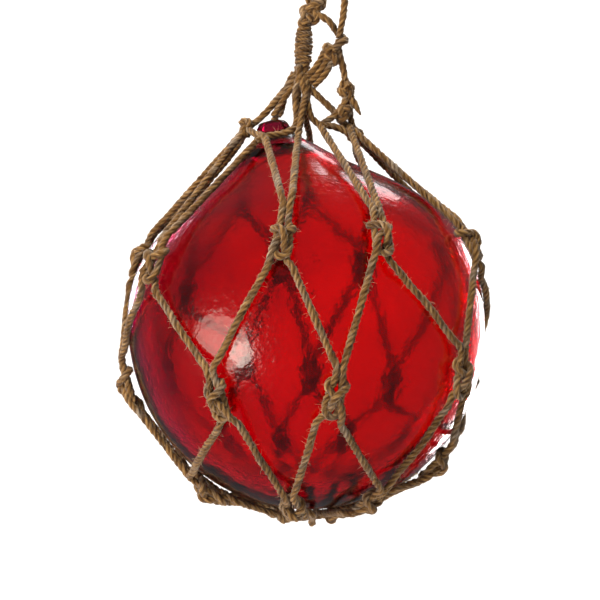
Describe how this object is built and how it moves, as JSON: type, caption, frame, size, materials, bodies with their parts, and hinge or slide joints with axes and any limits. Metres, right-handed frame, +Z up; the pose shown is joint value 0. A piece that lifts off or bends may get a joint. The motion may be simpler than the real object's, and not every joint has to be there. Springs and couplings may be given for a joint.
{
  "type": "glass float ball",
  "caption": "Hollow blown glass float ball in a knotted cord net, gathered into a hanger with a loop to hang it by.",
  "frame": {"origin": "inside of the top of the hanging loop, where a hook bears, with the ball straight below it", "axes": "+Z up along the hanging line, -Y towards the viewer of the picture, +X to the viewer's right"},
  "size_m": [0.1602, 0.1604, 0.2557],
  "materials": {
    "glass": "gloss",
    "jute": "matte"
  },
  "bodies": {
    "root": {"glass_float": "glass", "net": "jute", "hanging_loop": "jute"}
  },
  "joints": []
}
